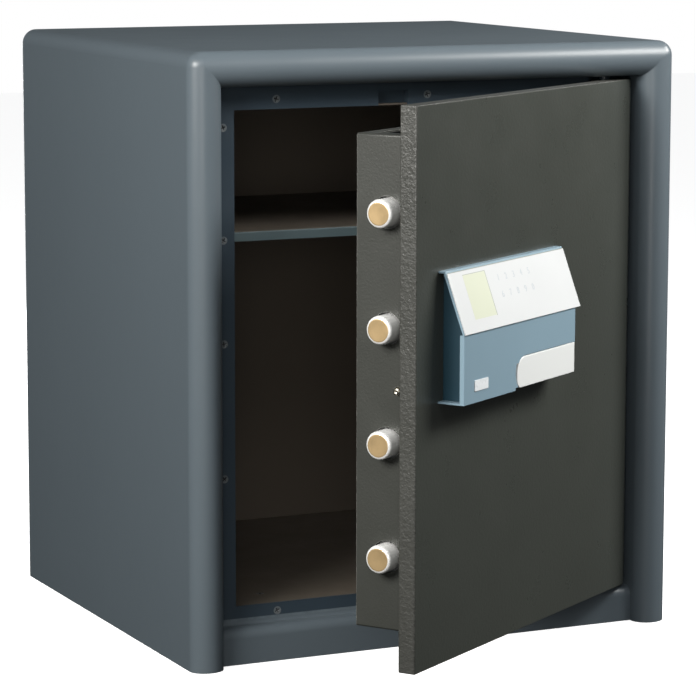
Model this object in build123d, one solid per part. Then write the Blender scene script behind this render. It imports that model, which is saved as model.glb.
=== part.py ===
# Electronic safe with its door standing open, as separate pieces in one frame.
# Millimetres, +Z up, front towards -Y, origin on the floor under the middle of the casing.
# Depths below are written from the front-most line of the casing (0) to its back (case_d).
# The door group is drawn shut and then turned open about its pin, so that every fit is one value.
import os
from math import cos, radians, sin, sqrt
from build123d import *

os.makedirs("parts", exist_ok=True)

# casing
case_w, case_d, case_h = 495.0, 445.0, 560.0
sheet = 2.0
top_bend = 14.0
bead_out_x, bead_out_y = 16.8, 14.8
bead_in_x, bead_in_y = 15.8, 14.7
bead_w = bead_out_x + bead_in_x
front_in = case_w / 2 - bead_w            # inner face of the front columns
head_z = case_h - bead_w                  # underside of the top bead
sill_y, sill_z, sill_bend = 17.8, 33.5, 9.0
# door stop frame and the opening inside it
ledge_y, ledge_t = 33.0, 2.0
stop_side, stop_foot, stop_head = 21.4, 17.5, 21.9   # width of the frame inside the casing
open_x, open_z0, open_z1 = front_in - stop_side, sill_z + stop_foot, head_z - stop_head
open_h = open_z1 - open_z0
notch_w, notch_deep = 30.0, 13.2
notch_x0, notch_z = -0.101 * case_w, open_z1 + notch_deep
notch_x1 = notch_x0 + notch_w
frame_back = 13.0                         # how far the stop frame reaches behind the bead
# inner box
wall = 1.5
back_gap = 57.0
inner_back = case_d - back_gap
fill_gap, fill_y = 0.2, 80.0
# door, drawn shut
gap_free = 1.9
leaf_y, leaf_t = 10.0, 16.5
gap_foot, gap_head = 3.2, 3.5
leaf_z0, leaf_z1 = sill_z + gap_foot, head_z - gap_head
leaf_round = 1.5
hinge_r = 25.0                            # rounded hinge edge, centred on the pin
pin_x, pin_y = front_in - gap_free - hinge_r, leaf_y + hinge_r
leaf_x0 = -front_in + gap_free
leaf_mid = (leaf_z0 + leaf_z1) / 2
pocket_in, pocket_room = 18.0, 2.5         # recess that the hinge edge of the door turns in
pocket_x, pocket_y = pin_x - pocket_in, pin_y + hinge_r + pocket_room
open_angle = 33.82                        # how far the door stands open
pin_d, pin_gap = 10.0, 0.05
lug_r, lug_h, lug_end = 12.0, 24.0, 1.9
pin_reach = lug_h + 9.0
# bolt box on the back of the door
box_in_x, box_in_pin, box_in_z0, box_in_z1 = 25.0, 20.0, 29.3, 27.4
box_x0, box_x1 = leaf_x0 + box_in_x, pin_x - box_in_pin
box_z0, box_z1, box_back = leaf_z0 + box_in_z0, leaf_z1 - box_in_z1, leaf_y + 73.0
lip, side_lip = 12.0, 16.0
# boltwork
bolt_d, bolt_out, bolt_y, bolt_hole = 25.0, 15.0, 53.0, 28.5
bolt_n = 4
bolt_pitch = 0.2318 * (box_z1 - box_z0)
bolt_z0 = leaf_mid - (bolt_n - 1) * bolt_pitch / 2
bolt_z1 = bolt_z0 + (bolt_n - 1) * bolt_pitch
tail_d, plate_x = 14.0, box_x0 + 28.0     # where the bolts meet their carrier
web_y, web_t, web_x1 = box_back - 19.0, 3.0, box_x0 + 88.0
turn_deg, crank_r = 50.0, 18.6
crank_pin_d, crank_play = 8.0, 0.3
post_d, post_x, post_play = 8.0, box_x0 + 70.0, 0.3
throw = 2 * crank_r * sin(radians(turn_deg / 2))
# lock unit on the front of the door (x from the left edge of the door)
unit_x0, unit_x1, panel_x1 = leaf_x0 + 38.0, leaf_x0 + 246.0, leaf_x0 + 254.0
unit_drop, unit_h, unit_front_h = 13.3, 114.0, 61.3
unit_z0 = leaf_mid - unit_drop
unit_z1, unit_fold = unit_z0 + unit_h, unit_z0 + unit_front_h
unit_out, unit_top_out, shell_t = 25.5, 6.5, 1.6
side_in = 9.0
lever_x1, lever_r = leaf_x0 + 245.6, 13.7
lever_x, lever_z = leaf_x0 + 149.0, unit_z0 + 15.0  # axis of the lever
lever_t, lever_corner, lever_gap = 8.0, 7.0, 0.6
spindle_d = 10.0
# small sprung pin in the edge of the door
feel_d, feel_z, feel_y, feel_out = 7.0, leaf_mid - 3.8, leaf_y + 32.0, 3.0
# shelf
shelf_back_of_door, shelf_lip, shelf_gap = 5.0, 9.3, 2.0
shelf_y0, shelf_z1 = box_back + shelf_back_of_door, open_z0 + 0.7443 * open_h
stud_inset = 37.0

screw_head, screw_d, screw_len = 7.6, 3.6, 12.0


def block(x0, x1, y0, y1, z0, z1):
    return Pos((x0 + x1) / 2, (y0 + y1) / 2, (z0 + z1) / 2) * Box(x1 - x0, y1 - y0, z1 - z0)


def rod(d, p, axis, length):
    """A round bar that starts at p and runs along one of the axes."""
    turn = {"x": (0, 90, 0), "-x": (0, -90, 0), "y": (-90, 0, 0), "-y": (90, 0, 0),
            "z": (0, 0, 0), "-z": (180, 0, 0)}[axis]
    return Pos(*p) * Rot(*turn) * Cylinder(d / 2, length, align=(Align.CENTER, Align.CENTER, Align.MIN))


def prism_y(pts, y0, y1):
    """A flat outline given in x and z, run from y0 to y1."""
    face = make_face(Polyline(*[(x, y0, z) for x, z in pts], close=True))
    return extrude(face, amount=y1 - y0, dir=(0, 1, 0))


def prism_x(pts, x0, x1):
    """A flat outline given in y and z, run from x0 to x1."""
    face = make_face(Polyline(*[(x0, y, z) for y, z in pts], close=True))
    return extrude(face, amount=x1 - x0, dir=(1, 0, 0))


def save(shape, name, door=False):
    """Writes one piece, or a list of like pieces as one group, in the shared frame."""
    placed = []
    for item in shape if isinstance(shape, list) else [shape]:
        if door:
            item = item.rotate(Axis((pin_x, pin_y, 0), (0, 0, 1)), open_angle)
        placed.append(Pos(0, -case_d / 2, 0) * item)
    export_step(Compound(children=placed) if isinstance(shape, list) else placed[0], f"parts/{name}.step")


def csk_screw(p, axis, length=screw_len):
    """A countersunk screw whose head is flush at p and whose shank runs along axis."""
    turn = {"x": (0, 90, 0), "y": (-90, 0, 0), "-y": (90, 0, 0), "-z": (180, 0, 0), "z": (0, 0, 0)}[axis]
    head = Cone(screw_head / 2, screw_d / 2, 2.0, align=(Align.CENTER, Align.CENTER, Align.MIN))
    shank = Pos(0, 0, 2.0) * Cylinder(screw_d / 2, length - 2.0,
        align=(Align.CENTER, Align.CENTER, Align.MIN))
    cross = Pos(0, 0, 0.5) * (Box(4.2, 0.9, 1.0) + Box(0.9, 4.2, 1.0))
    return Pos(*p) * Rot(*turn) * (head + shank - cross)


def screw_hole(p, axis, length=screw_len):
    turn = {"x": (0, 90, 0), "y": (-90, 0, 0), "-y": (90, 0, 0), "-z": (180, 0, 0), "z": (0, 0, 0)}[axis]
    head = Cone(screw_head / 2 + 0.02, screw_d / 2 + 0.02, 2.0, align=(Align.CENTER, Align.CENTER, Align.MIN))
    shank = Pos(0, 0, 1.9) * Cylinder(screw_d / 2 + 0.02, length,
        align=(Align.CENTER, Align.CENTER, Align.MIN))
    mouth = Pos(0, 0, -1) * Cylinder(screw_head / 2 + 0.02, 1, align=(Align.CENTER, Align.CENTER, Align.MIN))
    return Pos(*p) * Rot(*turn) * (head + shank + mouth)


# ---- casing wrap: sides and top in one sheet, with the rolled bead along its front edge
def bead_face():
    """Section of a front column, in x and y, on the left."""
    x0, x1 = -case_w / 2, -front_in
    xm = x0 + bead_out_x
    a = EllipticalCenterArc((xm, bead_out_y), bead_out_x, bead_out_y, start_angle=180, arc_size=90)
    b = EllipticalCenterArc((xm, bead_in_y), bead_in_x, bead_in_y, start_angle=270, arc_size=90)
    return make_face([Line((x0, ledge_y), (x0, bead_out_y)), a, b,
                      Line((x1, bead_in_y), (x1, ledge_y)), Line((x1, ledge_y), (x0, ledge_y))])


column = extrude(bead_face(), case_h)
corner = [(-case_w / 2, case_h), (-front_in, head_z), (-front_in, case_h + 1), (-case_w / 2, case_h + 1)]
left_column = column - prism_y(corner, -1, ledge_y + 1)
right_column = mirror(left_column, about=Plane.YZ)
lintel = Pos(0, 0, case_h) * Rot(0, 90, 0) * Pos(case_w / 2, 0, 0) * extrude(bead_face(), case_w)
lintel = Pos(-case_w / 2, 0, 0) * lintel
trapeze = [(-case_w / 2, case_h), (-front_in, head_z), (front_in, head_z), (case_w / 2, case_h)]
box_l = lintel.bounding_box()
lintel = Pos(-box_l.center().X, 0, case_h - box_l.max.Z) * lintel
lintel = lintel & prism_y(trapeze, -1, ledge_y + 1)


def rounded_u(inset, y0, y1):
    w, h, r = case_w / 2 - inset, case_h - inset, top_bend - inset
    body = block(-w, w, y0, y1, -1 if inset else 0, h)
    edges = body.edges().filter_by(Axis.Y).group_by(Axis.Z)[-1]
    return fillet(edges, r)


back_t = 2.0
wrap = rounded_u(0, ledge_y - 0.5, case_d - back_t) - rounded_u(sheet, -1, case_d)
wrap = wrap - block(-front_in, front_in, 0, ledge_y, -1, head_z)
front = (left_column + right_column + lintel) & rounded_u(0, -1, ledge_y + 1)
casing = front + wrap
casing -= rod(pin_d, (pin_x, pin_y, head_z - 1), "z", 12)
save(casing, "outer_casing")

# plain back panel
back = rounded_u(0, case_d - back_t, case_d)
save(back, "back_panel")

# base and sill in one bent sheet
s0, s1 = sill_y, sill_y + sill_bend
arc_out = Line((s0, 0), (s0, sill_z - sill_bend))
sill_pts = [(s0, 0.0)]
for k in range(9):
    a = radians(180 - 90 * k / 8)
    sill_pts.append((s1 + sill_bend * cos(a), sill_z - sill_bend + sill_bend * sin(a)))
sill_pts.append((ledge_y, sill_z))
sill_pts.append((ledge_y, sill_z - sheet))
for k in range(9):
    a = radians(90 + 90 * k / 8)
    sill_pts.append((s1 + (sill_bend - sheet) * cos(a), sill_z - sill_bend + (sill_bend - sheet) * sin(a)))
sill_pts += [(s0 + sheet, sheet), (ledge_y, sheet), (ledge_y, 0)]
base = prism_x(sill_pts, -front_in, front_in)
base += block(-case_w / 2 + sheet, case_w / 2 - sheet, ledge_y, case_d - back_t, 0, sheet)
base -= rod(pin_d, (pin_x, pin_y, sill_z - 8), "z", 12)
save(base, "base_sill")

# stop frame that the shut door lies against, open on the hinge side
screws = []
screw_edge = 8.9                          # screw axes from the edge of the opening
screw_zs = [open_z0 + part * open_h for part in (0.966, 0.743, 0.536, 0.263)]
screw_top_z, screw_bot_z = open_z1 + screw_edge, open_z0 - screw_edge + 1.3
screw_x, screw_pitch = -open_x - screw_edge - 1.8, 0.7856 * open_x
for z in screw_zs:
    screws.append(((screw_x, ledge_y, z), "y"))
for k in (-1, 0, 1):
    screws.append(((k * screw_pitch, ledge_y, screw_top_z), "y"))
    screws.append(((k * screw_pitch, ledge_y, screw_bot_z), "y"))
floor_screws = [((k * screw_pitch, ledge_y + 40.0, open_z0 - 0.2), "-z") for k in (-1, 0, 1)]
stop = block(-front_in - frame_back, pocket_x, ledge_y, ledge_y + ledge_t, sill_z - frame_back,
    head_z + frame_back)
stop -= block(-open_x, pocket_x + 1, 0, case_d, open_z0, open_z1)
stop -= block(notch_x0, notch_x1, 0, case_d, open_z1 - 1, notch_z)
notch_back = 9.0
cup = block(notch_x0 - wall, notch_x1 + wall, ledge_y + ledge_t, ledge_y + notch_back,
    open_z1 + wall + 0.2, notch_z + wall)
cup -= block(notch_x0, notch_x1, ledge_y, ledge_y + notch_back - wall, open_z1, notch_z)
stop += cup
for p, a in screws:
    stop -= screw_hole(p, a)
save(stop, "stop_frame")

# recess for the hinge edge, folded from thin sheet
y0, y1 = ledge_y, pocket_y + wall
zt0, zt1 = head_z, head_z + wall
zb0, zb1 = sill_z - wall, sill_z
pocket = block(pocket_x, front_in + wall, y0, y1, zt0, zt1)
pocket += block(pocket_x, front_in + wall, y0, y1, zb0, zb1)
pocket += block(front_in, front_in + wall, y0, y1, zb0, zt1)
pocket += block(pocket_x - wall, front_in + wall, pocket_y, y1, zb0, zt1)
pocket -= block(pocket_x - wall - 1, open_x, pocket_y - 1, y1 + 1, open_z0, open_z1)
pocket += block(pocket_x - wall, pocket_x, ledge_y + ledge_t, y1, open_z1, zt1)
pocket += block(pocket_x - wall, pocket_x, ledge_y + ledge_t, y1, zb0, open_z0)
pocket -= rod(pin_d, (pin_x, pin_y, zt0 - 1), "z", 4)
pocket -= rod(pin_d, (pin_x, pin_y, zb0 - 1), "z", 4)
save(pocket, "hinge_recess")

# inner box
ly0 = ledge_y + ledge_t
liner = block(-open_x - wall, open_x + wall, ly0, inner_back, open_z0 - wall, open_z1 + wall)
liner -= block(-open_x, open_x, ly0 - 1, inner_back - wall, open_z0, open_z1)
liner -= block(pocket_x - wall, open_x + wall + 1, ly0 - 1, y1, open_z0 - wall - 1, open_z1 + wall + 1)
bolt_zs = [bolt_z0 + k * bolt_pitch for k in range(bolt_n)]
for z in bolt_zs:
    liner -= rod(bolt_hole, (-open_x - 3, bolt_y, z), "x", 6)
for (x, y, z), a in floor_screws:
    liner -= rod(screw_head + 0.04, (x, y, z - 3), "z", 4)
save(liner, "inner_box")

# steel strip behind the left wall that the bolts enter
strike_over = 30.0
strike = block(-open_x - wall - 3, -open_x - wall, bolt_y - 16, bolt_y + 20, bolt_z0 - strike_over,
    bolt_z1 + strike_over)
for z in bolt_zs:
    strike -= rod(bolt_hole, (-open_x - 8, bolt_y, z), "x", 12)
save(strike, "strike_strip")

# fire-resistant fill between the two boxes
fg = fill_gap
fill = rounded_u(sheet + fg, fill_y, case_d - back_t - fg) - block(-case_w, case_w, 0, case_d, -5, sheet + fg)
fill -= block(-open_x - wall - fg, open_x + wall + fg, 0, inner_back + fg, open_z0 - wall - fg,
    open_z1 + wall + fg)
save(fill, "fill")

save([csk_screw(p, a) for p, a in screws], "frame_screws")
save([csk_screw(p, a, 9.0) for p, a in floor_screws], "floor_screws")

# pins of the hinge, each on its own plate
plate = block(pin_x - 13, pin_x + 13, pin_y - 1.9, pin_y + 25, zt1, zt1 + 3)
save(plate + rod(pin_d, (pin_x, pin_y, zt1 + 3), "-z", pin_reach), "hinge_pin_top")
plate = block(pin_x - 13, pin_x + 13, pin_y - 1.9, pin_y + 25, zb0 - 3, zb0)
step_top = leaf_z0 + lug_end - 0.2
bottom_pin = plate + rod(pin_d, (pin_x, pin_y, zb0 - 3), "z", pin_reach) + rod(16,
    (pin_x, pin_y, zb1), "z", step_top - zb1)
save(bottom_pin, "hinge_pin_bottom")

# shelf and the studs it lies on
sx, sy1 = open_x - shelf_gap, inner_back - wall - 4
shelf = block(-sx, sx, shelf_y0, sy1, shelf_z1 - shelf_lip, shelf_z1)
shelf = fillet(shelf.edges().filter_by(Axis.X).group_by(Axis.Z)[-1], 2.0)
shelf -= block(-sx + wall, sx - wall, shelf_y0 + wall, sy1 - wall, shelf_z1 - shelf_lip - 1, shelf_z1 - wall)
rib_pitch = (sy1 - shelf_y0) / 4
for k in (1, 2, 3):
    y = shelf_y0 + k * rib_pitch
    shelf += block(-sx + 1, sx - 1, y - 4, y + 4, shelf_z1 - 5, shelf_z1 - wall)
save(shelf, "shelf")
studs = []
stud_z = shelf_z1 - shelf_lip - 3
for y in (shelf_y0 + stud_inset, sy1 - stud_inset):
    studs.append(rod(6, (-open_x, y, stud_z), "x", 9) + rod(9, (-open_x, y, stud_z), "x", 1.5))
    studs.append(rod(6, (open_x, y, stud_z), "-x", 9) + rod(9, (open_x, y, stud_z), "-x", 1.5))
save(studs, "shelf_studs")

# ---- door leaf with its hinge edge rounded about the pin
ly1 = leaf_y + leaf_t
dy = pin_y - ly1
end_x = pin_x + sqrt(hinge_r ** 2 - dy ** 2)
mid = (pin_x + hinge_r * cos(radians(-52)), pin_y + hinge_r * sin(radians(-52)))
leaf_face = make_face([Line((leaf_x0, leaf_y), (pin_x, leaf_y)),
                       ThreePointArc((pin_x, leaf_y), mid, (end_x, ly1)),
                       Line((end_x, ly1), (leaf_x0, ly1)), Line((leaf_x0, ly1), (leaf_x0, leaf_y))])
leaf = Pos(0, 0, leaf_z0) * extrude(leaf_face, leaf_z1 - leaf_z0)
leaf = fillet(leaf.edges().filter_by(Axis.Z).group_by(Axis.X)[0], leaf_round)
leaf -= rod(spindle_d + 2 * pin_gap, (lever_x, leaf_y - 1, lever_z), "y", leaf_t + 2)
leaf -= rod(9, (leaf_x0 + 100, leaf_y - 1, unit_z0 + 78), "y", leaf_t + 2)
leaf -= rod(2.4, (leaf_x0 - 1, leaf_y + 12.5, leaf_z0 + 11.5), "x", 6)
save(leaf, "door_leaf", door=True)

# lugs that carry the door on the pins
def lug(z0, z1):
    body = rod(2 * lug_r, (pin_x, pin_y, z0), "z", z1 - z0)
    body += block(pin_x - lug_r, pin_x + lug_r, ly1, pin_y, z0, z1)
    body -= block(pin_x - 30, pin_x + 30, ly1 - 30, ly1, z0 - 1, z1 + 1)
    return body - rod(pin_d + 2 * pin_gap, (pin_x, pin_y, z0 - 1), "z", z1 - z0 + 2)


save(lug(leaf_z1 - lug_end - lug_h, leaf_z1 - lug_end), "hinge_lug_top", door=True)
save(lug(leaf_z0 + lug_end, leaf_z0 + lug_end + lug_h), "hinge_lug_bottom", door=True)

# bolt box: four folded walls with a lip for the cover
bb = block(box_x0, box_x1, ly1, box_back, box_z0, box_z1)
bb = fillet(bb.edges().filter_by(Axis.Y), 2.0)
bb -= block(box_x0 + wall, box_x1 - wall, ly1 - 1, box_back - 2 * wall, box_z0 + wall, box_z1 - wall)
bb -= block(box_x0 + wall, box_x1 - wall, box_back - wall, box_back + 1, box_z0 + wall, box_z1 - wall)
bb -= block(box_x0 + lip, box_x1 - lip, ly1, box_back + 1, box_z0 + lip, box_z1 - lip)
for z in (box_z0, box_z1):
    bb -= block(box_x0 + side_lip, box_x1 - side_lip, ly1 + lip, box_back - lip, z - 2 * wall, z + 2 * wall)
for z in bolt_zs:
    bb -= rod(bolt_hole, (box_x0 - 1, bolt_y, z), "x", 4)
bb -= rod(feel_d + 1.0, (box_x0 - 1, feel_y, feel_z), "x", 4)
cover_pts = []
for x in (box_x0 + 7, (box_x0 + box_x1) / 2, box_x1 - 7):
    for z in (box_z0 + 7, (box_z0 + box_z1) / 2, box_z1 - 7):
        if abs(x - (box_x0 + box_x1) / 2) > 1 or abs(z - (box_z0 + box_z1) / 2) > 1:
            cover_pts.append(((x, box_back, z), "-y"))
for p, a in cover_pts:
    bb -= screw_hole(p, a, 8.0)
save(bb, "bolt_box", door=True)
cover = block(box_x0 + wall, box_x1 - wall, box_back - wall, box_back, box_z0 + wall, box_z1 - wall)
for p, a in cover_pts:
    cover -= screw_hole(p, a, 8.0)
save(cover, "rear_cover", door=True)
save([csk_screw(p, a, 8.0) for p, a in cover_pts], "cover_screws", door=True)

# plate with the close-fitting holes that the bolts slide in
gx0 = box_x0 + wall + 3
guide_over = 25.0
guide = block(gx0, gx0 + 4, ly1, box_back - 10, bolt_z0 - guide_over, bolt_z1 + guide_over)
for z in bolt_zs:
    guide -= rod(bolt_d + 2 * pin_gap, (gx0 - 1, bolt_y, z), "x", 6)
guide -= rod(feel_d + 1.0, (gx0 - 1, feel_y, feel_z), "x", 6)
save(guide, "bolt_guide", door=True)

# carrier that moves the four bolts
tip = box_x0 - bolt_out
bolts = []
for z in bolt_zs:
    pin = rod(bolt_d, (tip, bolt_y, z), "x", plate_x - tip)
    pin = chamfer(pin.edges().sort_by(Axis.X)[0], 1.4)
    bolts.append(pin + rod(tail_d, (plate_x, bolt_y, z), "x", 9))
save(bolts, "bolts", door=True)
car_z0, car_z1 = bolt_z0 - 18.5, bolt_z1 + 18.5
car = block(plate_x, plate_x + 3, bolt_y - 12, web_y + web_t, car_z0, car_z1)
car += block(plate_x, web_x1, web_y, web_y + web_t, car_z0, car_z1)
arm_z0, arm_z1, arm_x1 = lever_z + 4.5, lever_z + 40.0, lever_x + 24.0
car += block(web_x1, arm_x1, web_y, web_y + web_t, arm_z0, arm_z1)
for z in bolt_zs:
    car -= rod(tail_d, (plate_x - 1, bolt_y, z), "x", 6)
half = crank_pin_d / 2 + crank_play
crank_x = lever_x - crank_r * sin(radians(turn_deg / 2))
crank_z = lever_z + crank_r * cos(radians(turn_deg / 2))
car -= block(crank_x - half, crank_x + half, web_y - 1, web_y + web_t + 1, crank_z - half - 1,
    lever_z + crank_r + half + 1)
hp = post_d / 2 + post_play
post_zs = (bolt_z0 + 0.3 * bolt_pitch, bolt_z1 - 0.3 * bolt_pitch)
for z in post_zs:
    car -= block(post_x - throw - hp, post_x + hp, web_y - 1, web_y + web_t + 1, z - hp, z + hp)
lock_x, lock_d = lever_x + 8.0, 6.0
for x in (lock_x, lock_x - throw):
    car -= block(x - lock_d / 2 - 0.6, x + lock_d / 2 + 0.6, web_y - 1, web_y + web_t + 1,
        arm_z1 - 6.5, arm_z1 + 1)
save(car, "bolt_carrier", door=True)
posts = []
for z in post_zs:
    posts.append(rod(post_d, (post_x, ly1, z), "y", web_y + web_t + 4 - ly1) + rod(13,
        (post_x, web_y + web_t + 1, z), "y", 3)
                 + rod(13, (post_x, ly1, z), "y", web_y - 0.6 - ly1))
save(posts, "carrier_posts", door=True)

# solenoid and the plunger that drops into the carrier
sol_z = arm_z1 + 10.0
solenoid = block(lock_x - 13, lock_x + 13, ly1, web_y + web_t + 11, sol_z, sol_z + 34)
solenoid = fillet(solenoid.edges().filter_by(Axis.Z), 2.0)
sol_y = web_y + web_t / 2
solenoid -= rod(lock_d + 2 * pin_gap, (lock_x, sol_y, sol_z - 1), "z", 36)
save(solenoid, "solenoid", door=True)
plunger = rod(lock_d, (lock_x, sol_y, arm_z1 + 0.6), "z", 40)
plunger += rod(10, (lock_x, sol_y, arm_z1 + 0.6 + 7.2), "z", 1.5)
save(plunger, "plunger", door=True)

# spindle and crank behind the leaf, turned by the lever
crank_y0 = web_y - 5.5
crank = rod(26, (lever_x, crank_y0, lever_z), "y", 4.5)
crank += rod(16, (crank_x, crank_y0, crank_z), "y", 4.5)
crank += rod(crank_pin_d, (crank_x, crank_y0, crank_z), "y", 4.5 + 1 + web_t + 2)
crank -= rod(spindle_d, (lever_x, crank_y0 - 1, lever_z), "y", 4.5 + 1)
save(crank, "crank", door=True)
front_y = leaf_y - unit_out
spindle = rod(spindle_d, (lever_x, front_y + lever_t, lever_z), "y", crank_y0 + 4.5 - front_y - lever_t)
spindle += rod(16, (lever_x, ly1 + 0.3, lever_z), "y", 3)
save(spindle, "spindle", door=True)


def lever_outline(grow=0.0):
    r = lever_r + grow
    c = lever_corner
    x1 = lever_x1 + grow
    return [Line((lever_x, 0, lever_z + r), (x1, 0, lever_z + r)),
            Line((x1, 0, lever_z + r), (x1, 0, lever_z - r)),
            Line((x1, 0, lever_z - r), (lever_x - r + c, 0, lever_z - r)),
            ThreePointArc((lever_x - r + c, 0, lever_z - r),
                          (lever_x - r + c * (1 - sqrt(0.5)), 0, lever_z - r + c * (1 - sqrt(0.5))),
                          (lever_x - r, 0, lever_z - r + c)),
            Line((lever_x - r, 0, lever_z - r + c), (lever_x - r, 0, lever_z)),
            ThreePointArc((lever_x - r, 0, lever_z),
                          (lever_x - r * sqrt(0.5), 0, lever_z + r * sqrt(0.5)),
                          (lever_x, 0, lever_z + r))]


lever = Pos(0, front_y, 0) * extrude(make_face(lever_outline()), amount=lever_t, dir=(0, 1, 0))
lever = fillet(lever.edges().group_by(Axis.Y)[0], 0.8)
save(lever, "lever", door=True)

# housing of the lock unit: a sheet folded round, and the body inside it
def unit_pts(inset):
    y_f, y_t = leaf_y - unit_out + inset, leaf_y - unit_top_out + inset
    z0, z1 = unit_z0 + inset, unit_z1 - inset
    zf = unit_fold - 0.25 * inset
    return [(leaf_y, z0), (y_f, z0), (y_f, zf), (y_t, z1), (leaf_y, z1)]


shell = prism_x(unit_pts(0), unit_x0, panel_x1) - prism_x(unit_pts(shell_t), unit_x0 - 1, panel_x1 + 1)
shell -= block(unit_x1, panel_x1 + 1, front_y - 1, leaf_y + 1, unit_z0 - 1, unit_fold - 0.5)
sweep_r = sqrt(2) * (lever_r - lever_corner) + lever_corner + lever_gap
cut = Pos(0, front_y - 1, 0) * extrude(make_face(lever_outline(lever_gap)),
    amount=leaf_y - front_y + 2, dir=(0, 1, 0))
cut += rod(2 * sweep_r, (lever_x, front_y - 1, lever_z), "y", leaf_y - front_y + 2) \
    & block(lever_x - 30, lever_x, front_y - 2, leaf_y + 2, lever_z - 30, lever_z + sweep_r / 2 + 0.3)
cut += block(lever_x - sweep_r, unit_x1 + 1, front_y - 1, front_y + lever_t + 1, unit_z0 - 1,
    lever_z - lever_r + 1)
cut += block(lever_x, unit_x1 + 1, front_y - 1, front_y + lever_t + 1, lever_z - lever_r,
    lever_z + lever_r + lever_gap)
front_cut = cut & block(unit_x0, unit_x1 + 2, front_y - 2, front_y + lever_t + 1, unit_z0 - 2, unit_z1)
shell -= front_cut
turn_in = 4.2
shell += block(unit_x0, unit_x0 + shell_t, front_y + shell_t, front_y + turn_in, unit_z0 + shell_t,
    unit_fold - 1.0)
save(shell, "unit_shell", door=True)

body_x0, body_x1 = unit_x0 + side_in, unit_x1 - 2.5
body = prism_x(unit_pts(shell_t + 0.2), body_x0, body_x1)
body -= block(body_x0 - 1, body_x1 + 1, leaf_y - 0.0, leaf_y + 5, 0, 600)
body -= front_cut
body -= block(lever_x - 22, body_x1 + 1, front_y - 1, front_y + lever_t + 0.6, unit_z0,
    lever_z - lever_r + 0.5)
body -= rod(spindle_d + 1.0, (lever_x, front_y, lever_z), "y", 40)
room = block(body_x0 + 12, lever_x - 24, leaf_y - 15, leaf_y + 1, unit_z0 + 18, unit_z0 + 85)
body -= room
save(body, "unit_body", door=True)

# white keypad plate lying on the sloped face
pw, tilt_dy, tilt_dz = 1.2, unit_out - unit_top_out, unit_z1 - unit_fold
length = sqrt(tilt_dy ** 2 + tilt_dz ** 2)
ny, nz = -tilt_dz / length, tilt_dy / length
p_top, p_bot = (leaf_y - unit_top_out, unit_z1), (leaf_y - unit_out, unit_fold)
ty, tz = tilt_dy / length, tilt_dz / length
top_in = 2.2
a0 = (p_top[0] - ty * top_in, p_top[1] - tz * top_in)
panel_pts = [a0, (p_bot[0] - ty * 1.0, p_bot[1] - tz * 1.0)]
panel_pts += [(y + ny * pw, z + nz * pw) for y, z in reversed(panel_pts)]
panel = prism_x(panel_pts, unit_x0 + 0.6, panel_x1 - 0.4)
save(panel, "keypad_panel", door=True)

board_z0, board_z1 = unit_z0 + 23, unit_z0 + 80
board = block(body_x0 + 16, lever_x - 28, leaf_y - 8, leaf_y - 6.4, board_z0, board_z1)
for k in range(3):
    board += block(body_x0 + 22 + 18 * k, body_x0 + 32 + 18 * k, leaf_y - 9.6, leaf_y - 8,
        board_z0 + 15, board_z0 + 28)
for x in (body_x0 + 20, lever_x - 32):
    for z in (board_z0 + 4, board_z1 - 4):
        board += rod(4, (x, leaf_y - 6.4, z), "y", 6.4)
save(board, "circuit_board", door=True)
badge = block(leaf_x0 + 56.5, leaf_x0 + 80.5, front_y - 0.7, front_y, unit_z0 + 10.0, unit_z0 + 19.5)
badge = fillet(badge.edges().filter_by(Axis.Y), 0.8)
save(badge, "badge", door=True)

# sprung pin that feels the frame, in its holder
fx0 = box_x0 - feel_out
feel = rod(feel_d, (fx0, feel_y, feel_z), "x", 22)
feel = fillet(feel.edges().sort_by(Axis.X)[0], 1.4)
feel += rod(10, (gx0 + 4 + 1.2, feel_y, feel_z), "x", 2)
save(feel, "edge_pin", door=True)
hx0 = gx0 + 4
holder = block(hx0, hx0 + 17, ly1, feel_y + 8, feel_z - 8, feel_z + 8)
holder -= rod(10.4, (hx0 - 0.1, feel_y, feel_z), "x", 8)
holder -= rod(feel_d + 2 * pin_gap, (hx0 - 1, feel_y, feel_z), "x", 19)
save(holder, "pin_holder", door=True)

# battery tray and its four cells, inside the bolt box
bx0, bz0, cell_d, cell_l = lever_x + 74.0, box_z0 + 54.0, 14.2, 50.0
tray_t = 2.0
tray_w, tray_h = cell_l + 16.0, 4 * cell_d + 2.4 + 2 * tray_t
tray = block(bx0, bx0 + tray_w, ly1, ly1 + cell_d + 4.8, bz0, bz0 + tray_h)
tray -= block(bx0 + tray_t, bx0 + tray_w - tray_t, ly1 + tray_t, ly1 + cell_d + 6, bz0 + tray_t,
    bz0 + tray_h - tray_t)
save(tray, "battery_tray", door=True)
cells = []
for k in range(4):
    z = bz0 + tray_t + cell_d / 2 + 0.3 + k * (cell_d + 0.6)
    cell = rod(cell_d, (bx0 + 8, ly1 + tray_t + cell_d / 2, z), "x", cell_l)
    cells.append(cell + rod(5.4, (bx0 + 7 if k % 2 else bx0 + 8 + cell_l, ly1 + tray_t + cell_d / 2,
        z), "x", 1.0))
save(cells, "battery_cells", door=True)
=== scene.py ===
import bpy
import bmesh
from math import cos, sin, radians, pi, sqrt
from mathutils import Matrix, Vector


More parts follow.
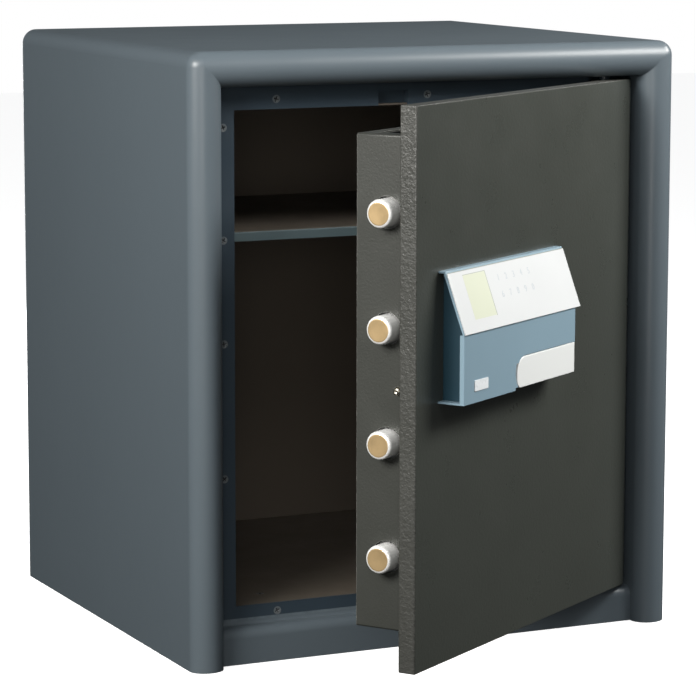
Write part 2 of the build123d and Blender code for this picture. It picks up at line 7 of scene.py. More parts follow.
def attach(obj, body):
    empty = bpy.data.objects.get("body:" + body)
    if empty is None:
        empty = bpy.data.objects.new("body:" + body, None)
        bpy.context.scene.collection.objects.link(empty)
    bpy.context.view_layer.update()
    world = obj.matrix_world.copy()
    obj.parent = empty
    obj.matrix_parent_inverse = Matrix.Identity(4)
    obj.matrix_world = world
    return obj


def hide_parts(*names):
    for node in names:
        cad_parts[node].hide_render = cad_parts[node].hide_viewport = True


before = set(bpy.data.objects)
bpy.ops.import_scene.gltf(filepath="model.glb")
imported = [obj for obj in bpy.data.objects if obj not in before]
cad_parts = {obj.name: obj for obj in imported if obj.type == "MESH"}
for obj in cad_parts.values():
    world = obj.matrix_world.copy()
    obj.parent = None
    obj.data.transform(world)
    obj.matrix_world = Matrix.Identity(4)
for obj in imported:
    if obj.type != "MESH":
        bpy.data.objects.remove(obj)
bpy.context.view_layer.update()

# Sizes in millimetres, the same as in the part's source.
CASE_W, CASE_D, CASE_H = 495.0, 445.0, 560.0
SHEET = 2.0
CORNER_R = 14.0
WRAP_BACK = 442.9                      # rear edge of the casing's wrap
STOP_Y = 32.9                          # where the rolled bead ends on the stop frame
BEAD_OUT, BEAD_OUT_DEEP = 16.8, 14.8   # outer quarter of the bead, across and deep
BEAD_IN, BEAD_IN_DEEP = 15.8, 14.7     # inner quarter of the bead
SILL_HALF = 214.9

PIN_X, PIN_Y = 188.0, 35.0             # axis of the hinge
OPEN = radians(33.82)
C, S = cos(OPEN), sin(OPEN)
LEAF_X0 = -213.0
LEAF_Y0, LEAF_Y1 = 10.0, 26.5
LEAF_Z0, LEAF_Z1 = 36.7, 523.9
LEAF_END_R = 25.0
BOX_X0, BOX_X1 = LEAF_X0 + 25, 168.0
BOX_Z0, BOX_Z1 = 66.0, 496.5
BOX_BACK = 83.0

BOLT_TIP, BOLT_Y = LEAF_X0 + 10.0, 53.0
BOLT_Z0, BOLT_PITCH = 130.61, 99.79
EDGE_PIN_Y, EDGE_PIN_Z = 42.0, 276.5

SIDE_SCREW_X, SIDE_SCREW_Z = -204.2, (490.2, 388.7, 294.4, 170.5)
ROW_SCREW_X, TOP_SCREW_Z, LOW_SCREW_Z = 152.0, 514.4, 43.4
FRAME_FACE_Y = 33.0
FLOOR_SCREW_Y, FLOOR_SCREW_Z = 73.0, 50.8
COVER_SCREW_IN = 7.0

PANEL_Y, PANEL_Z, PANEL_T = LEAF_Y0 - 6.5, 381.0, 1.2   # top edge of the slanted keypad plate
PANEL_RUN, PANEL_DROP = 19.0, 52.7                      # how far it comes forward and down
FIELD_U, FIELD_V = (62.0, 101.0), (6.5, 46.0)
KEY_ROWS = ("12345", "67890")
KEY_U0, KEY_STEP_U = 122, 14.0
KEY_V0, KEY_STEP_V = 15.0, 15.0
KEY_SIZE = 0.0085

# The camera that was solved from the photo, in metres and degrees.
FOCAL_PX, PHOTO_PX = 3118.9, 696
CAM_AT = (-1.2907, -2.7555, 0.7151)
CAM_YAW, CAM_PITCH, CAM_ROLL = 25.45, 8.544, 0.112


def P(x, y, z):
    """Casing point in mm, depth counted from the front, to metres in the shared frame."""
    return Vector((x / 1000, (y - CASE_D / 2) / 1000, z / 1000))


def D(x, y, z):
    """The same for a point of the door drawn shut: it is turned open about the pin."""
    rx, ry = x - PIN_X, y - PIN_Y
    return P(PIN_X + rx * C - ry * S, PIN_Y + rx * S + ry * C, z)


# Materials: node helpers first, then the paints and metals.
def tree(name):
    m = bpy.data.materials.new(name)
    m.use_nodes = True
    nt = m.node_tree
    return m, nt, nt.nodes["Principled BSDF"]


def noise(nt, scale, detail=4.0, rough=0.5, stretch=None):
    n = nt.nodes.new("ShaderNodeTexNoise")
    n.inputs["Scale"].default_value = scale
    n.inputs["Detail"].default_value = detail
    n.inputs["Roughness"].default_value = rough
    co = nt.nodes.new("ShaderNodeTexCoord")
    src = co.outputs["Object"]
    if stretch:
        mp = nt.nodes.new("ShaderNodeMapping")
        mp.inputs["Scale"].default_value = stretch
        nt.links.new(src, mp.inputs["Vector"])
        src = mp.outputs["Vector"]
    nt.links.new(src, n.inputs["Vector"])
    return n.outputs["Fac"]


def ramp(nt, fac, a, b, p0=0.3, p1=0.7):
    r = nt.nodes.new("ShaderNodeValToRGB")
    r.color_ramp.elements[0].position = p0
    r.color_ramp.elements[1].position = p1
    r.color_ramp.elements[0].color = (*a, 1)
    r.color_ramp.elements[1].color = (*b, 1)
    nt.links.new(fac, r.inputs["Fac"])
    return r.outputs["Color"]


def span(nt, fac, lo, hi):
    m = nt.nodes.new("ShaderNodeMapRange")
    m.inputs["From Min"].default_value = 0.3
    m.inputs["From Max"].default_value = 0.7
    m.inputs["To Min"].default_value = lo
    m.inputs["To Max"].default_value = hi
    nt.links.new(fac, m.inputs["Value"])
    return m.outputs["Result"]


def bump(nt, height, strength, dist, after=None):
    b = nt.nodes.new("ShaderNodeBump")
    b.inputs["Strength"].default_value = strength
    b.inputs["Distance"].default_value = dist
    nt.links.new(height, b.inputs["Height"])
    if after:
        nt.links.new(after, b.inputs["Normal"])
    return b.outputs["Normal"]


def mix(nt, fac, a, b, kind="MIX"):
    m = nt.nodes.new("ShaderNodeMix")
    m.data_type = "RGBA"
    m.blend_type = kind
    for sock, v in ((m.inputs[0], fac), (m.inputs[6], a), (m.inputs[7], b)):
        if hasattr(v, "links"):
            nt.links.new(v, sock)
        elif isinstance(v, tuple):
            sock.default_value = (*v, 1)
        else:
            sock.default_value = v
    return m.outputs[2]


def painted_edge_highlight(nt, radius=0.0007):
    """1 along the edges that get a painted highlight: where a softened normal leaves the true one, broken up
    by noise.
    """
    g = nt.nodes.new("ShaderNodeNewGeometry")
    b = nt.nodes.new("ShaderNodeBevel")
    b.samples = 4
    b.inputs["Radius"].default_value = radius
    d = nt.nodes.new("ShaderNodeVectorMath")
    d.operation = "DOT_PRODUCT"
    nt.links.new(g.outputs["Normal"], d.inputs[0])
    nt.links.new(b.outputs["Normal"], d.inputs[1])
    m = nt.nodes.new("ShaderNodeMapRange")
    m.inputs["From Min"].default_value = 0.99
    m.inputs["From Max"].default_value = 0.85
    nt.links.new(d.outputs["Value"], m.inputs["Value"])
    n = noise(nt, 220, 5, 0.65)
    k = nt.nodes.new("ShaderNodeMath")
    k.operation = "MULTIPLY"
    nt.links.new(m.outputs["Result"], k.inputs[0])
    nt.links.new(span(nt, n, 0, 1), k.inputs[1])
    return k.outputs["Value"]


def shade(c, k):
    return tuple(min(1.0, v * k) for v in c)


def coat(name, col, rough, spread=0.05, vary=0.06, grain=(900.0, 0.06, 0.00008), wave=(14.0, 0.05, 0.0006),
         metallic=0.0, coat_w=0.0, edge_highlight=None, spec=0.5):
    """Painted or moulded surface: slow colour drift, uneven gloss, fine grain and a slow ripple."""
    m, nt, p = tree(name)
    slow = noise(nt, 6.0, 3)
    c = ramp(nt, slow, shade(col, 1 - vary), shade(col, 1 + vary))
    # lighter colour along the edges: a painted highlight
    if edge_highlight:
        c = mix(nt, painted_edge_highlight(nt), c, edge_highlight)
    nt.links.new(c, p.inputs["Base Color"])
    nt.links.new(span(nt, noise(nt, 22.0, 5, 0.6), rough - spread, rough + spread), p.inputs["Roughness"])
    p.inputs["Metallic"].default_value = metallic
    p.inputs["Specular IOR Level"].default_value = spec
    p.inputs["Coat Weight"].default_value = coat_w
    n = bump(nt, noise(nt, wave[0], 2), wave[1], wave[2])
    n = bump(nt, noise(nt, grain[0], 3, 0.6), grain[1], grain[2], n)
    nt.links.new(n, p.inputs["Normal"])
    return m


def metal(name, col, rough, brushed=None, spread=0.06, grime=0.25, metallic=1.0):
    m, nt, p = tree(name)
    dirt = noise(nt, 45.0, 6, 0.65)
    c = ramp(nt, dirt, shade(col, 1 - grime), col, 0.35, 0.55)
    nt.links.new(c, p.inputs["Base Color"])
    p.inputs["Metallic"].default_value = metallic
    nt.links.new(span(nt, noise(nt, 70.0, 5, 0.6), rough - spread, rough + spread), p.inputs["Roughness"])
    src = noise(nt, 400.0, 4, 0.6, stretch=brushed) if brushed else noise(nt, 700.0, 4, 0.6)
    nt.links.new(bump(nt, src, 0.12, 0.00005), p.inputs["Normal"])
    return m


# casing paint: the last colour is a painted highlight along its edges
CASE = coat("casing_paint", (0.090, 0.112, 0.129), 0.36, 0.02, 0.012, (1500.0, 0.04, 0.00005),
            (5.0, 0.02, 0.0004),
            edge_highlight=(0.12, 0.15, 0.17))
FRAME = coat("frame_paint", (0.030, 0.046, 0.062), 0.40, 0.05, 0.07, (1500.0, 0.06, 0.00006))
LINER = coat("liner_paint", (0.115, 0.097, 0.078), 0.48, 0.05, 0.08, (1200.0, 0.08, 0.00008))
# door paint: the last colour is a painted highlight along its edges
DOOR = coat("door_paint", (0.043, 0.047, 0.041), 0.31, 0.05, 0.05, (330.0, 0.40, 0.00042),
            (5.0, 0.03, 0.0006),
            edge_highlight=(0.13, 0.13, 0.12))
# door edge paint: the last colour is a painted highlight along its edges
EDGE = coat("door_edge_paint", (0.050, 0.051, 0.046), 0.40, 0.06, 0.10, (300.0, 0.9, 0.0009),
            (60.0, 0.3, 0.0008),
            edge_highlight=(0.20, 0.20, 0.19))
# box paint: the last colour, far lighter than the paint, is a painted highlight along its edges
BOXP = coat("box_paint", (0.038, 0.040, 0.035), 0.42, 0.04, 0.05, (480.0, 0.45, 0.0004), (5.0, 0.03, 0.0006),
            edge_highlight=(0.42, 0.42, 0.40))
HOUSING = coat("unit_housing", (0.200, 0.292, 0.355), 0.36, 0.04, 0.03, (1300.0, 0.05, 0.00006))
INNER = coat("unit_inner", (0.010, 0.040, 0.060), 0.45, 0.04, 0.04, (1300.0, 0.05, 0.00006))
SHELF_EDGE = coat("shelf_edge_paint", (0.085, 0.120, 0.130), 0.42, 0.05, 0.06, (1200.0, 0.08, 0.00008))
# white_panel and white_lever_lit are one white plastic in two copies: the plate's darker where more light
# falls, the lever's lighter where less falls; painted light
WHITE = coat("white_panel", (0.55, 0.562, 0.57), 0.34, 0.04, 0.012, (1500.0, 0.03, 0.00004))
LEVER_LIT_WHITE = coat("white_lever_lit", (0.70, 0.715, 0.71), 0.32, 0.04, 0.012, (1500.0, 0.03, 0.00004))
FIELD = coat("olive_field", (0.52, 0.545, 0.43), 0.36, 0.04, 0.015, (1500.0, 0.03, 0.00004))
LINE = coat("print_grey", (0.22, 0.24, 0.21), 0.45, 0.04, 0.03)
FAINT = coat("print_faint", (0.44, 0.475, 0.51), 0.45, 0.04, 0.03)
BADGE = coat("badge_plate", (0.72, 0.75, 0.77), 0.28, 0.04, 0.02)
CHROME = metal("bolt_chrome", (0.92, 0.92, 0.91), 0.26, (1, 1, 30), 0.03, 0.08, 0.25)
# tan of the bolt end faces: a painted warm reflection
BOLT_END_REFLECTION = metal("bolt_end_reflection", (0.54, 0.385, 0.20), 0.40, None, 0.05, 0.16, 0.55)
STEEL = metal("plain_steel", (0.50, 0.50, 0.49), 0.34)
# near-black colour of the cross recess in the screws: painted shade
RECESS_SHADE = coat("screw_recess_shade", (0.012, 0.014, 0.016), 0.6)
SCREW = metal("zinc_screw", (0.17, 0.19, 0.20), 0.40, metallic=0.4)
BRASS = metal("pin_metal", (0.62, 0.58, 0.48), 0.28)
FILL = coat("fill", (0.45, 0.43, 0.39), 0.8)
BOARD = coat("board", (0.02, 0.12, 0.05), 0.4)
BLACK = coat("black_plastic", (0.02, 0.02, 0.02), 0.5)
CELL = coat("cell", (0.45, 0.30, 0.10), 0.35)


# Mesh helpers.
def finish_mesh(bm, name, mats, body, bevel=0.0, segs=2, angle=35.0, replace=()):
    """Joins seams, softens sharp edges, shades curves smooth and hands the piece to its body."""
    bmesh.ops.remove_doubles(bm, verts=bm.verts, dist=1e-6)
    bmesh.ops.recalc_face_normals(bm, faces=bm.faces)
    if bevel:
        es = [e for e in bm.edges if len(e.link_faces) == 2 and e.calc_face_angle(0) > radians(angle)]
        bmesh.ops.bevel(bm, geom=es, offset=bevel, segments=segs, profile=0.6, affect="EDGES",
                        clamp_overlap=True)
    for f in bm.faces:
        size = f.calc_area()
        f.smooth = any(radians(1) < e.calc_face_angle(0) <= radians(angle)
                       and max(g.calc_area() for g in e.link_faces if g is not f) > 0.35 * size
                       for e in f.edges if len(e.link_faces) == 2)
    for e in bm.edges:
        if len(e.link_faces) != 2 or e.calc_face_angle(0) > radians(angle):
            e.smooth = False
    me = bpy.data.meshes.new(name)
    bm.to_mesh(me)
    bm.free()
    ob = bpy.data.objects.new(name, me)
    bpy.context.scene.collection.objects.link(ob)
    for m in mats if isinstance(mats, (list, tuple)) else [mats]:
        me.materials.append(m)
    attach(ob, body)
    if replace:
        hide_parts(*replace)
    return ob


def refine(node, mat, body, bevel=0.0003, segs=2, angle=30.0):
    """A cleaner copy of a piece: flat faces merged, edges softened, smooth curves."""
    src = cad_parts[node]
    bm = bmesh.new()
    bm.from_mesh(src.data)
    bmesh.ops.remove_doubles(bm, verts=bm.verts, dist=2e-6)
    bmesh.ops.dissolve_limit(bm, angle_limit=radians(0.4), verts=bm.verts, edges=bm.edges)
    for f in bm.faces:
        f.material_index = 0
    return finish_mesh(bm, node + "_finish", mat, body, bevel, segs, angle, (node,))


def prism(name, outline, a, b, place, mat, body, bevel=0.0, segs=2, angle=35.0, replace=()):
    """outline: list of (u, v); place(u, v, t) gives the point; t runs from a to b."""
    bm = bmesh.new()
    lo = [bm.verts.new(place(u, v, a)) for u, v in outline]
    hi = [bm.verts.new(place(u, v, b)) for u, v in outline]
    n = len(outline)
    bm.faces.new(lo)
    bm.faces.new(list(reversed(hi)))
    for i in range(n):
        j = (i + 1) % n
        bm.faces.new((lo[i], lo[j], hi[j], hi[i]))
    return finish_mesh(bm, name, mat, body, bevel, segs, angle, replace)


def lathe(bm, origin, axis, side, prof, n=48):
    """prof: list of (distance along axis, radius) in metres."""
    axis = axis.normalized()
    side = side.normalized()
    up = axis.cross(side)
    rings = []
    for t, r in prof:
        c = origin + axis * t
        if r < 1e-7:
            rings.append([bm.verts.new(c)])
        else:
            rings.append([bm.verts.new(c + (side * cos(2 * pi * k / n) + up * sin(2 * pi * k / n)) * r)
                          for k in range(n)])
    for a, b in zip(rings, rings[1:]):
        for k in range(n):
            j = (k + 1) % n
            if len(a) == 1 and len(b) == 1:
                continue
            if len(a) == 1:
                bm.faces.new((a[0], b[j], b[k]))
            elif len(b) == 1:
                bm.faces.new((a[k], a[j], b[0]))
            else:
                bm.faces.new((a[k], a[j], b[j], b[k]))


# Casing and everything that is fixed in it.
def casing():
    """One section carried up the left side, over the top and down the right; mitred inside, round outside."""
    sec = [(SHEET, WRAP_BACK), (0.0, WRAP_BACK)] + [(0.0, y) for y in (300.0, 160.0, 60.0, 33.0)]
    sec += [(BEAD_OUT - BEAD_OUT * cos(radians(t)), BEAD_OUT_DEEP - BEAD_OUT_DEEP * sin(radians(t)))
            for t in range(0, 90, 5)]
    sec += [(BEAD_OUT + BEAD_IN * sin(radians(t)), BEAD_IN_DEEP - BEAD_IN_DEEP * cos(radians(t)))
            for t in range(0, 91, 5)]
    sec += [(BEAD_OUT + BEAD_IN, STOP_Y), (SHEET, STOP_Y)]
    rises = (0.0, 140.0, 280.0, 420.0)
    rows = []
    for a, y in sec:
        r = max(CORNER_R - a, 0.7)
        w, h = CASE_W / 2 - a, CASE_H - a
        pts = [(-w, z) for z in rises]
        pts += [(-w + r - r * cos(radians(t)), h - r + r * sin(radians(t))) for t in range(0, 91, 9)]
        pts += [(-w + r + (2 * w - 2 * r) * k / 4, h) for k in (1, 2, 3)]
        pts += [(w - r + r * sin(radians(t)), h - r + r * cos(radians(t))) for t in range(0, 91, 9)]
        pts += [(w, z) for z in reversed(rises)]
        rows.append([P(x, y, z) for x, z in pts])
    bm = bmesh.new()
    vs = [[bm.verts.new(p) for p in row] for row in rows]
    for i in range(len(vs)):
        a, b = vs[i], vs[(i + 1) % len(vs)]
        for k in range(len(a) - 1):
            bm.faces.new((a[k], a[k + 1], b[k + 1], b[k]))
    for end in (0, -1):
        bm.faces.new([row[end] for row in vs])
    finish_mesh(bm, "casing_wrap", CASE, "carcass", 0, angle=40, replace=("outer_casing",))


casing()


def sill():
    """Folded strip under the door, rounded in front, with the flat base sheet behind it."""
    y0, zt, r = 17.8, 33.5, 9.0
    pts = [(y0, 0.0)] + [(y0 + r - r * cos(radians(t)),
                zt - r + r * sin(radians(t))) for t in range(0, 91, 6)]
    pts += [(29.5, zt), (31.0, zt + 0.4), (32.2, zt + 1.6), (32.8, zt + 3.2), (32.99, zt + 6.0)]
    inner = r - SHEET
    pts += [(33.0, zt - SHEET)]
    pts += [(y0 + r - inner * cos(radians(t)), zt - r + inner * sin(radians(t))) for t in range(90, -1, -10)]
    pts += [(y0 + SHEET, SHEET), (33.0, SHEET), (33.0, 0.0)]
    n = len(pts)
    bm = bmesh.new()
    a = [bm.verts.new(P(-SILL_HALF, y, z)) for y, z in pts]
    b = [bm.verts.new(P(SILL_HALF, y, z)) for y, z in pts]
    bm.faces.new(a)
    bm.faces.new(list(reversed(b)))
    for i in range(n):
        bm.faces.new((a[i], a[(i + 1) % n], b[(i + 1) % n], b[i]))
    x, y1, y2 = 245.5, 33.0, 443.0     # half width, front and back of the base sheet
    c = [bm.verts.new(P(u, v, z)) for z in (0.0, SHEET) for u, v in ((-x, y1), (x, y1), (x, y2), (-x, y2))]
    for q in ((0, 1, 2, 3), (4, 5, 6, 7), (0, 1, 5, 4), (1, 2, 6, 5), (2, 3, 7, 6), (3, 0, 4, 7)):
        bm.faces.new([c[i] for i in q])
    finish_mesh(bm, "sill_sheet", CASE, "carcass", 0, angle=40, replace=("base_sill",))


sill()
refine("back_panel", CASE, "carcass", 0.0004)
refine("stop_frame", FRAME, "carcass", 0.0004)
refine("hinge_recess", FRAME, "carcass", 0.0003)
refine("inner_box", LINER, "carcass", 0.0003)
refine("strike_strip", STEEL, "carcass", 0.0003)
refine("fill", FILL, "carcass", 0)
refine("hinge_pin_top", FRAME, "carcass", 0.0004)
refine("hinge_pin_bottom", FRAME, "carcass", 0.0004)
shelf = refine("shelf", LINER, "carcass", 0.0004)
shelf.data.materials.append(SHELF_EDGE)
for f in shelf.data.polygons:
    if f.normal.y < -0.7:
        f.material_index = 1
refine("shelf_studs", STEEL, "carcass", 0.0003)


# Countersunk screws with a cross recess.
def screws(name, spots, body, replace, length=12.0, d_head=7.6, d=3.6):
    """spots: list of (point, direction into the metal, direction of the cross)."""
    arm, reach, rings = 0.16, 0.66, 40
    bm = bmesh.new()
    for at, axis, side in spots:
        axis, side = axis.normalized(), side.normalized()
        up = axis.cross(side)
        R = d_head / 2000
        # the ring points that lie inside the cross are set deeper than the flat head
        grid, deep = [], []
        for rr in (0.0, 0.22, 0.36, 0.5, 0.62, 0.70, 0.78, 0.9, 0.97, 1.0):
            row = []
            for k in range(rings):
                t = 2 * pi * k / rings
                x, y = rr * cos(t), rr * sin(t)
                cross = (abs(x) < arm and abs(y) < reach) or (abs(y) < arm and abs(x) < reach)
                depth = 0.0010 - 0.0009 * max(abs(x), abs(y)) / reach if cross else 0.0
                depth += 0.00012 * (1 if rr > 0.985 else 0)
                row.append(bm.verts.new(at + side * (x * R) + up * (y * R) + axis * depth))
                if cross:
                    deep.append(row[-1])
            grid.append(row)
        for a, b in zip(grid, grid[1:]):
            for k in range(rings):
                f = bm.faces.new((a[k], a[(k + 1) % rings], b[(k + 1) % rings], b[k]))
                # faces down in the cross take the near-black recess colour: painted shade
                f.material_index = 1 if sum(v in deep for v in f.verts) > 2 else 0
        low = [(0.002, d / 2000), (length / 1000 - 0.001, d / 2000), (length / 1000, d / 2000 * 0.7)]
        last = grid[-1]
        for t, r in low:
            turn = [2 * pi * k / rings for k in range(rings)]
            ring = [bm.verts.new(at + axis * t + (side * cos(a) + up * sin(a)) * r) for a in turn]
            for k in range(rings):
                bm.faces.new((last[k], last[(k + 1) % rings], ring[(k + 1) % rings], ring[k]))
            last = ring
        bm.faces.new(last)
    finish_mesh(bm, name, [SCREW, RECESS_SHADE], body, 0, angle=30, replace=replace)


# Main directions, and the door's own: along its width and inwards.
X, Y, Z = Vector((1, 0, 0)), Vector((0, 1, 0)), Vector((0, 0, 1))
ALONG, INWARD = Vector((C, S, 0)), Vector((-S, C, 0))


def slot_dir(deg, u=X, v=Z):
    return u * cos(radians(deg)) + v * sin(radians(deg))


spots = [(P(SIDE_SCREW_X, FRAME_FACE_Y, z), Y, slot_dir(20 + 37 * i)) for i, z in enumerate(SIDE_SCREW_Z)]
for k in (-1, 0, 1):
    spots.append((P(ROW_SCREW_X * k, FRAME_FACE_Y, TOP_SCREW_Z), Y, slot_dir(15 + 31 * k)))
    spots.append((P(ROW_SCREW_X * k, FRAME_FACE_Y, LOW_SCREW_Z), Y, slot_dir(50 + 23 * k)))
screws("frame_screw_set", spots, "carcass", ("frame_screws",))

spots = [(P(ROW_SCREW_X * k, FLOOR_SCREW_Y, FLOOR_SCREW_Z), -Z, X * cos(0.3 * k) + Y * sin(0.3 * k))
         for k in (-1, 0, 1)]
screws("floor_screw_set", spots, "carcass", ("floor_screws",), 9.0)

mid_x, mid_z = (BOX_X0 + BOX_X1) / 2, (BOX_Z0 + BOX_Z1) / 2
spots = [(D(x, BOX_BACK, z), -INWARD, slot_dir(x * 3 + z * 7, ALONG))
         for x in (BOX_X0 + COVER_SCREW_IN, mid_x, BOX_X1 - COVER_SCREW_IN)
         for z in (BOX_Z0 + COVER_SCREW_IN, mid_z, BOX_Z1 - COVER_SCREW_IN)
         if (x, z) != (mid_x, mid_z)]
screws("cover_screw_set", spots, "door", ("cover_screws",), 8.0)


# Door, bolt box and boltwork.
def leaf():
    """Door leaf with rounded free edge, its hinge end a round about the pin."""
    r = 1.5
    x0, y0, y1, R = LEAF_X0, LEAF_Y0, LEAF_Y1, LEAF_END_R
    out = [(x0 + r - r * sin(radians(t)), y0 + r - r * cos(radians(t))) for t in range(90, -1, -15)]
    out += [(x0 + (PIN_X - x0) * k / 6, y0) for k in range(1, 6)]
    end = 90 - 19.9     # where the round end meets the back of the leaf
    out += [(PIN_X + R * sin(radians(t)), PIN_Y - R * cos(radians(t))) for t in
            [end * k / 20 for k in range(21)]]
    out += [(x0 + (PIN_X - x0) * k / 6, y1) for k in range(6, 0, -1)]
    out += [(x0 + r - r * cos(radians(t)), y1 - r + r * sin(radians(t))) for t in range(90, -1, -15)]
    return prism("leaf_panel", out, LEAF_Z0, LEAF_Z1, D, DOOR, "door", 0.0009, 3, 35,
                 ("door_leaf",))


door_panel = leaf()
door_panel.data.materials.append(EDGE)
for f in door_panel.data.polygons:
    if f.normal.dot(ALONG) < -0.5 or abs(f.normal.z) > 0.5:
        f.material_index = 1
refine("bolt_box", BOXP, "door", 0.0003)
refine("rear_cover", BOXP, "door", 0.0002)
for node in ("hinge_lug_top", "hinge_lug_bottom", "bolt_guide", "carrier_posts", "solenoid"):
    refine(node, STEEL, "door", 0.0004)
refine("bolt_carrier", STEEL, "boltwork", 0.0003)
refine("plunger", STEEL, "plunger_body", 0.0003)
refine("circuit_board", BOARD, "door", 0.0001)
refine("pin_holder", BLACK, "door", 0.0004)
refine("battery_tray", BLACK, "door", 0.0004)
refine("battery_cells", CELL, "door", 0.0004)
refine("spindle", STEEL, "lever_body", 0.0003)
refine("crank", STEEL, "lever_body", 0.0003)

# Bolts: turned bars with a small chamfer, a bright barrel and an end face painted tan, a painted warm
# reflection.
bm = bmesh.new()
for k in range(4):
    lathe(bm, D(BOLT_TIP, BOLT_Y, BOLT_Z0 + BOLT_PITCH * k), ALONG, Z,
          [(0.00015, 0), (0.0001, 0.004), (0.0, 0.0092), (0.0001, 0.0101), (0.0006, 0.0112),
           (0.0013, 0.0119), (0.0022, 0.0123), (0.0034, 0.0125), (0.0429, 0.0125),
           (0.043, 0.007), (0.052, 0.007), (0.052, 0)], 72)
bolts = finish_mesh(bm, "bolt_set", [CHROME, BOLT_END_REFLECTION], "boltwork", 0, angle=28,
                    replace=("bolts",))
# end faces take the tan colour: painted warm reflection
for f in bolts.data.polygons:
    if (f.center - D(BOLT_TIP, BOLT_Y, BOLT_Z0)).dot(ALONG) < 0.00012:
        f.material_index = 1

# Small sprung pin with a dimpled end.
bm = bmesh.new()
lathe(bm, D(BOX_X0 - 3.0, EDGE_PIN_Y, EDGE_PIN_Z), ALONG, Z,
      [(0.0009, 0), (0.0007, 0.0008), (0.0001, 0.0014), (0.0, 0.0018), (0.0004, 0.0029),
       (0.0013, 0.0035), (0.0127, 0.0035), (0.0127, 0.005), (0.0147, 0.005), (0.0147, 0.0035),
       (0.022, 0.0035), (0.022, 0)], 40)
finish_mesh(bm, "edge_pin_turned", BRASS, "edge_pin_body", 0, angle=40, replace=("edge_pin",))

# Lock unit: housing, keypad plate with its printed marks, lever and blank badge.
refine("unit_shell", HOUSING, "door", 0.0004, 2, 15)
refine("unit_body", INNER, "door", 0.0004)
refine("keypad_panel", WHITE, "door", 0.0003)
refine("lever", LEVER_LIT_WHITE, "lever_body", 0.0)
refine("badge", BADGE, "door", 0.00015)

slope = sqrt(PANEL_RUN ** 2 + PANEL_DROP ** 2)
ty, tz = PANEL_RUN / slope, PANEL_DROP / slope


def on_panel(u, v, h=0.0):
    """u across from the left edge of the door, v down the slope from its top edge, h above the plate."""
    y = PANEL_Y - ty * v
    z = PANEL_Z - tz * v
    k = PANEL_T + h
    return D(LEAF_X0 + u, y - tz * k, z + ty * k)


def patch(name, u0, u1, v0, v1, h, mat):
    """Thin printed area on the keypad plate."""
    bm = bmesh.new()
    q = [(u0, v0), (u1, v0), (u1, v1), (u0, v1)]
    lo = [bm.verts.new(on_panel(u, v, -0.4)) for u, v in q]
    hi = [bm.verts.new(on_panel(u, v, h)) for u, v in q]
    bm.faces.new(lo)
    bm.faces.new(list(reversed(hi)))
    for i in range(4):
        bm.faces.new((lo[i], lo[(i + 1) % 4], hi[(i + 1) % 4], hi[i]))
    finish_mesh(bm, name, mat, "door", 0)


patch("tinted_field", *FIELD_U, *FIELD_V, 0.05, FIELD)
patch("field_line_right", FIELD_U[1], FIELD_U[1] + 0.6, FIELD_V[0] - 0.5, FIELD_V[1] + 0.5, 0.08, LINE)
patch("field_line_top", FIELD_U[0], FIELD_U[1] + 0.6, FIELD_V[0] - 0.5, FIELD_V[0] - 0.1, 0.08, LINE)
patch("panel_fold_line", 39.0, 253.0, 1.8, 2.5, 0.05, LINE)

# Printed key marks, two faint rows.
for r, row in enumerate(KEY_ROWS):
    for c, ch in enumerate(row):
        cu = bpy.data.curves.new(f"key_mark_{ch}", "FONT")
        cu.body = ch
        cu.size = KEY_SIZE
        cu.align_x, cu.align_y = "CENTER", "CENTER"
        cu.extrude = 0.00005
        ob = bpy.data.objects.new(f"key_mark_{ch}", cu)
        bpy.context.scene.collection.objects.link(ob)
        o = on_panel(KEY_U0 + KEY_STEP_U * c, KEY_V0 + KEY_STEP_V * r, 0.06)
        up = (on_panel(0, 0) - on_panel(0, 10)).normalized()
        m = Matrix((ALONG, up, ALONG.cross(up))).transposed().to_4x4()
        m.translation = o
        ob.matrix_world = m
        ob.data.materials.append(FAINT)
        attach(ob, "door")

# Floor, background, light and camera.
fm, _, fp = tree("floor_pale")
fp.inputs["Base Color"].default_value = (0.9, 0.9, 0.9, 1)
fp.inputs["Roughness"].default_value = 0.9
fp.inputs["Emission Color"].default_value = (1, 1, 1, 1)
fp.inputs["Emission Strength"].default_value = 0.85
bpy.ops.mesh.primitive_plane_add(size=14, location=(0, 0, -0.0006))
floor = bpy.context.object
floor.name = "floor"
floor.data.materials.append(fm)
floor.visible_diffuse = False
floor.visible_glossy = False

w = bpy.data.worlds.new("studio")
bpy.context.scene.world = w
w.use_nodes = True
wn = w.node_tree
wn.nodes.clear()
out = wn.nodes.new("ShaderNodeOutputWorld")
bg1 = wn.nodes.new("ShaderNodeBackground")
bg1.inputs["Strength"].default_value = 1.0
tc = wn.nodes.new("ShaderNodeTexCoord")
# a soft glow from the front and above, dark below; the eye sees plain white
dt = wn.nodes.new("ShaderNodeVectorMath")
dt.operation = "DOT_PRODUCT"
dt.inputs[1].default_value = Vector((0.0, -0.62, 0.78)).normalized()
wn.links.new(tc.outputs["Generated"], dt.inputs[0])
wr = wn.nodes.new("ShaderNodeValToRGB")
wr.color_ramp.elements[0].position = 0.0
wr.color_ramp.elements[1].position = 1.0
wr.color_ramp.elements[0].color = (0.006, 0.006, 0.006, 1)
wr.color_ramp.elements[1].color = (0.14, 0.145, 0.15, 1)
mr = wn.nodes.new("ShaderNodeMapRange")
mr.inputs["From Min"].default_value = -0.6
mr.inputs["From Max"].default_value = 1.0
wn.links.new(dt.outputs["Value"], mr.inputs["Value"])
wn.links.new(mr.outputs["Result"], wr.inputs["Fac"])
wn.links.new(wr.outputs["Color"], bg1.inputs["Color"])
bg2 = wn.nodes.new("ShaderNodeBackground")
bg2.inputs["Color"].default_value = (1, 1, 1, 1)
bg2.inputs["Strength"].default_value = 1.0
lp = wn.nodes.new("ShaderNodeLightPath")
mx = wn.nodes.new("ShaderNodeMixShader")
wn.links.new(lp.outputs["Is Camera Ray"], mx.inputs["Fac"])
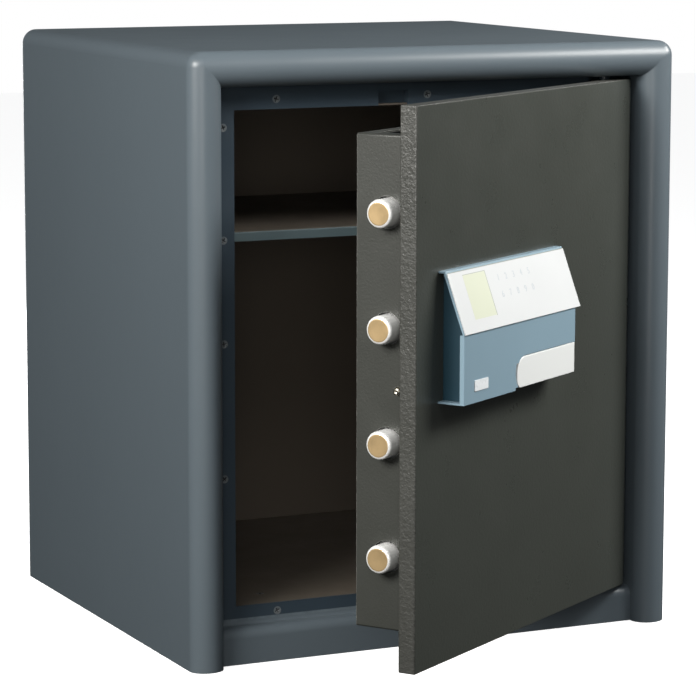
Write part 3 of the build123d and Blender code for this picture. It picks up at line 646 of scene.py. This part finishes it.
wn.links.new(bg1.outputs[0], mx.inputs[1])
wn.links.new(bg2.outputs[0], mx.inputs[2])
wn.links.new(mx.outputs[0], out.inputs["Surface"])


def area(name, loc, target, size, power, col=(1, 1, 1)):
    li = bpy.data.lights.new(name, "AREA")
    li.shape = "RECTANGLE"
    li.size, li.size_y = size
    li.energy = power
    li.color = col
    ob = bpy.data.objects.new(name, li)
    bpy.context.scene.collection.objects.link(ob)
    ob.location = loc
    ob.rotation_euler = (Vector(target) - Vector(loc)).to_track_quat("-Z", "Y").to_euler()


area("key_left", (-1.60, -0.95, 1.20), (-0.15, -0.3, 0.54), (0.9, 0.9), 36, (1.0, 0.99, 0.96))
area("key_right", (1.50, -0.55, 1.30), (0.1, -0.3, 0.60), (0.7, 0.7), 32, (1.0, 0.99, 0.96))
area("door_top", (0.72, -0.80, 1.10), (0.16, -0.28, 0.66), (0.35, 0.35), 10, (1.0, 0.99, 0.96))
area("front_high", (-0.6, -1.5, 1.6), (0, -0.2, 0.58), (1.2, 0.6), 7)
area("left_card", (-1.9, -0.9, 1.2), (-0.02, -0.35, 0.58), (0.7, 0.7), 18, (1.0, 0.96, 0.90))
area("back_fill", (0.0, 2.2, 0.34), (0, 0.2, 0.3), (0.42, 0.36), 22)
area("inside_fill", (-1.1, -2.4, 0.6), (0, 0, 0.3), (0.8, 0.8), 9, (1.0, 0.97, 0.92))

cam = bpy.data.cameras.new("camera")
cam.sensor_width = 36
cam.lens = cam.sensor_width * FOCAL_PX / PHOTO_PX
cam.shift_x = -0.0154
cam.shift_y = -0.0085
co = bpy.data.objects.new("camera", cam)
bpy.context.scene.collection.objects.link(co)
co.matrix_world = (Matrix.Translation(CAM_AT) @ Matrix.Rotation(radians(-CAM_YAW), 4, "Z")
                   @ Matrix.Rotation(radians(90 - CAM_PITCH), 4, "X")
                   @ Matrix.Rotation(radians(CAM_ROLL), 4, "Z"))
cam.clip_end = 50
bpy.context.scene.camera = co
bpy.context.scene.view_settings.view_transform = "Standard"
